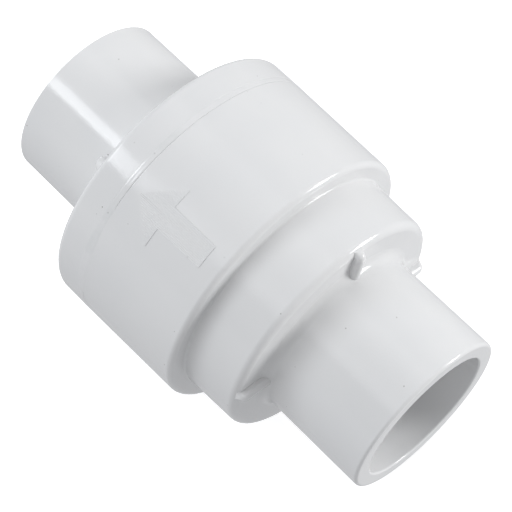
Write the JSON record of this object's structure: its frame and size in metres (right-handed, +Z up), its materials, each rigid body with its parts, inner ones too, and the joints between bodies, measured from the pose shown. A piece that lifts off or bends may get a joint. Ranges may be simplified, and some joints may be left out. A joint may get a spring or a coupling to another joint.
{
  "type": "spring check valve",
  "caption": "Spring-loaded in-line check valve with glue-in pipe sockets, stepped round white plastic body, raised flow arrow and sliding sealed poppet.",
  "frame": {"origin": "centre of the inlet socket's mouth", "axes": "+X the way the water flows, along the valve's own axis; +Z up, with the valve lying on its barrel"},
  "size_m": [0.1593, 0.1004, 0.1004],
  "materials": {
    "white_pvc": "smooth moulded, slightly glossy",
    "cured_cement": "smeared and glossy",
    "grey_acetal": "satin moulded",
    "bearing_polymer": "satin",
    "seal_rubber": "matte",
    "turned_stainless": "turned",
    "stainless_sheet": "brushed",
    "spring_wire": "drawn wire",
    "blue_nylon": "satin"
  },
  "bodies": {
    "housing": {"inlet_body": "white_pvc", "outlet_cap": "white_pvc", "cement_bead": "cured_cement", "outlet_guide": "grey_acetal", "guide_bush": "bearing_polymer", "rest_washer": "stainless_sheet", "spring": "spring_wire"},
    "spring_seat": {"spring_cup": "stainless_sheet"},
    "poppet": {"poppet_disc": "grey_acetal", "poppet_seal": "seal_rubber", "wing_guide": "grey_acetal", "stem": "turned_stainless", "front_washer": "stainless_sheet", "lock_nut": "turned_stainless", "lock_nut_insert": "blue_nylon", "stem_clip": "stainless_sheet"}
  },
  "joints": [
    {"name": "poppet_lift", "type": "slide", "parent": "housing", "child": "spring_seat", "axis": [1, 0, 0], "range_m": [0, 0.012], "stiffness_N_per_m": 350, "springref_m": -0.0157, "deforming": ["spring"]},
    {"name": "poppet_spin", "type": "hinge", "parent": "spring_seat", "child": "poppet", "pos_m": [0.06, 0, 0], "axis": [1, 0, 0], "continuous": true}
  ]
}
